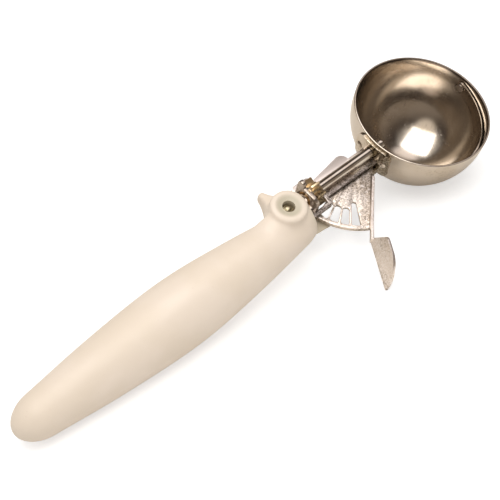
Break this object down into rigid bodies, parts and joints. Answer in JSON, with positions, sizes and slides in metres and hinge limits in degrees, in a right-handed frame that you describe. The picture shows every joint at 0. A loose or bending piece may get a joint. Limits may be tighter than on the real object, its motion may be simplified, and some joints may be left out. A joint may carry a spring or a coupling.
{
  "type": "lever ice cream scoop",
  "caption": "Thumb-lever ice cream scoop: steel bowl with a sweeping scraper, geared lever and ivory plastic handle.",
  "frame": {"origin": "centre of the bowl's mouth, in the plane of the rim", "axes": "+X from the handle to the bowl, +Z out of the bowl's mouth, thumb pad on the -Y side"},
  "size_m": [0.2279, 0.0738, 0.0394],
  "materials": {
    "polished_steel": "polished",
    "stamped_steel": "bright rolled",
    "rivet_steel": "satin",
    "spring_steel": "satin",
    "brass": "machined",
    "bearing_bronze": "plain",
    "ivory_plastic": "semi-gloss moulded"
  },
  "bodies": {
    "scoop": {"handle": "ivory_plastic", "frame": "stamped_steel", "bowl": "polished_steel", "bowl_saddle": "stamped_steel", "saddle_rivets": "rivet_steel", "front_bush": "bearing_bronze", "far_pivot_pin": "polished_steel", "rear_bearing": "stamped_steel", "rear_bush": "bearing_bronze", "bearing_rivets": "rivet_steel", "thrust_washer": "rivet_steel", "stop_pin": "rivet_steel", "lever_rivet": "rivet_steel", "upper_pivot_washer": "rivet_steel", "lower_pivot_washer": "rivet_steel", "return_spring": "spring_steel", "handle_rivet": "rivet_steel", "rivet_washers": "rivet_steel"},
    "lever": {"lever": "stamped_steel"},
    "scraper": {"spindle": "polished_steel", "pinion": "brass", "pinion_pin": "rivet_steel", "scraper_hub": "rivet_steel", "hub_pin": "rivet_steel", "scraper_blade": "polished_steel"}
  },
  "joints": [
    {"name": "lever_pivot", "type": "hinge", "parent": "scoop", "child": "lever", "pos_m": [-0.0394, 0, 0], "axis": [0, 0, 1], "range_deg": [-34, 0], "stiffness_Nm_per_rad": 0.3, "springref_deg": 20.05},
    {"name": "spindle_turn", "type": "hinge", "parent": "scoop", "child": "scraper", "pos_m": [0, 0, -0.0042], "axis": [1, 0, 0], "range_deg": [0, 153]}
  ],
  "couplings": [
    {"joint": "spindle_turn", "follows": "lever_pivot", "ratio": -4.5}
  ]
}
